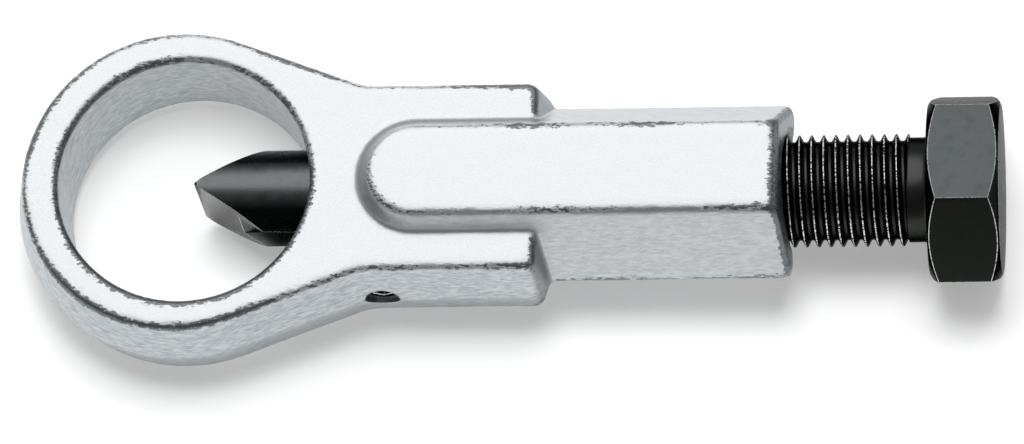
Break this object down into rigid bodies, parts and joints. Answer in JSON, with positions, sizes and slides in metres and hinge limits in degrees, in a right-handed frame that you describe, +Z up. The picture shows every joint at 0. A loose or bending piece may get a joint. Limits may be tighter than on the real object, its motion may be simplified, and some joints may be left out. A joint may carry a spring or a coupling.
{
  "type": "nut splitter",
  "caption": "Hand tool with a forged ring and hexagonal shank, in which a pressure screw drives a keyed chisel across the ring to split a seized nut.",
  "frame": {"origin": "centre of the nut opening, half-way up the ring, on the tool's axis", "axes": "+X along the tool's axis towards the screw head, +Z up through the nut opening, -Y on the guide screw's side"},
  "size_m": [0.1228, 0.042, 0.023],
  "materials": {
    "plated_forging": "satin bright plated, with the grain of the blasted forging",
    "black_chisel": "black oxide, ground cutting faces",
    "black_screw": "black oxide, worn bright along the head's edges",
    "black_guide_screw": "black oxide",
    "polished_ball": "polished"
  },
  "bodies": {
    "frame": {"forged_body": "plated_forging", "guide_screw": "black_guide_screw"},
    "chisel": {"chisel": "black_chisel", "thrust_ball": "polished_ball"},
    "screw": {"pressure_screw": "black_screw"}
  },
  "joints": [
    {"name": "chisel_slide", "type": "slide", "parent": "frame", "child": "chisel", "axis": [-1, 0, 0], "range_m": [-0.0145, 0.0164]},
    {"name": "screw_turn", "type": "hinge", "parent": "chisel", "child": "screw", "pos_m": [0.09, 0, 0], "axis": [-1, 0, 0], "range_deg": [-3481, 3937]}
  ],
  "couplings": [
    {"joint": "screw_turn", "follows": "chisel_slide", "rad_per_m": 4188.8}
  ]
}
